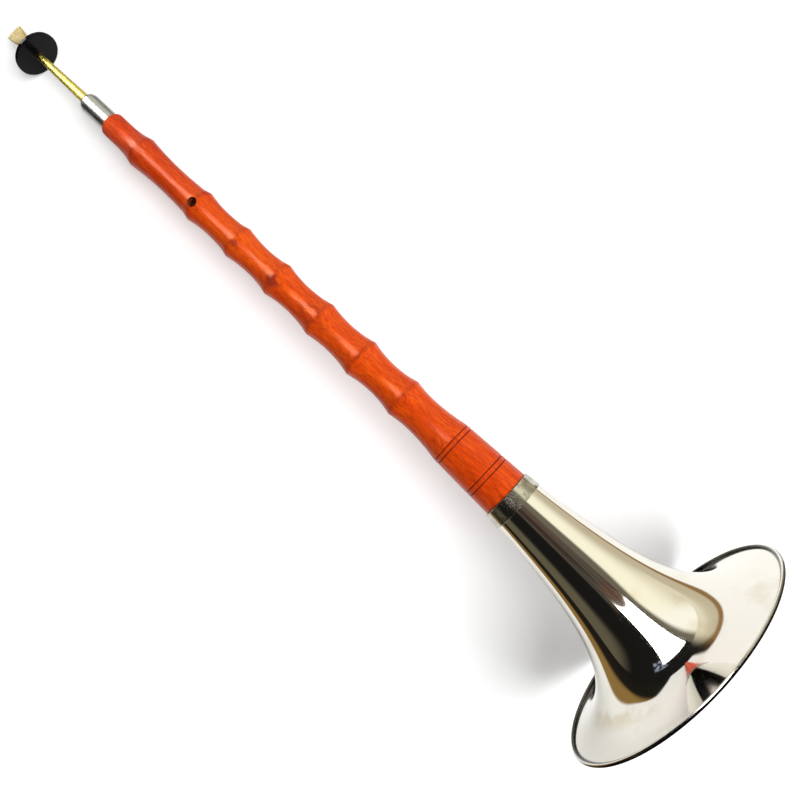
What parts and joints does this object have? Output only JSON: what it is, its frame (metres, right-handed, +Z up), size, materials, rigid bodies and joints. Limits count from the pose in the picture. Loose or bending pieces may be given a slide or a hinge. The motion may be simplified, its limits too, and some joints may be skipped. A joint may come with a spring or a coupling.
{
  "type": "suona",
  "caption": "Double-reed horn with a turned wooden body, finger holes, a brass staple with lip disc and reed, and a flared metal bell; pulls apart at its push fits.",
  "frame": {"origin": "on the table under the middle of the object as it lies on its bell rim and its lip disc", "axes": "+X from the reed towards the bell, +Z up from the table; the horn's own axis rises 6.8 degrees towards the bell"},
  "size_m": [0.4996, 0.1386, 0.1376],
  "materials": {
    "red_wood": "lacquered",
    "staple_brass": "polished",
    "sleeve_nickel": "polished nickel plate",
    "cork": "raw cork",
    "black_plastic": "glossy",
    "cane": "raw cane",
    "copper_wire": "copper, drawn",
    "bell_nickel": "mirror nickel plate on brass",
    "dull_nickel": "dull, spotted nickel plate",
    "steel_wire": "plain"
  },
  "bodies": {
    "body": {"wood_body": "red_wood"},
    "staple": {"staple_tube": "staple_brass", "staple_sleeve": "sleeve_nickel", "staple_cork": "cork"},
    "disc": {"lip_disc": "black_plastic"},
    "reed": {"reed": "cane", "reed_wire": "copper_wire"},
    "bell": {"bell_flare": "bell_nickel", "bell_collar": "dull_nickel", "bell_rim_wire": "steel_wire"}
  },
  "joints": [
    {"name": "staple_draw", "type": "slide", "parent": "body", "child": "staple", "axis": [-0.993, 0, -0.1177], "range_m": [0, 0.024]},
    {"name": "disc_turn", "type": "hinge", "parent": "staple", "child": "disc", "pos_m": [-0.2293, 0, 0.01304], "axis": [0.993, 0, 0.1177], "continuous": true},
    {"name": "reed_slip", "type": "slide", "parent": "staple", "child": "reed", "axis": [-0.993, 0, -0.1177], "range_m": [0, 0.01]},
    {"name": "bell_slip", "type": "slide", "parent": "body", "child": "bell", "axis": [0.993, 0, 0.1177], "range_m": [0, 0.027]}
  ]
}
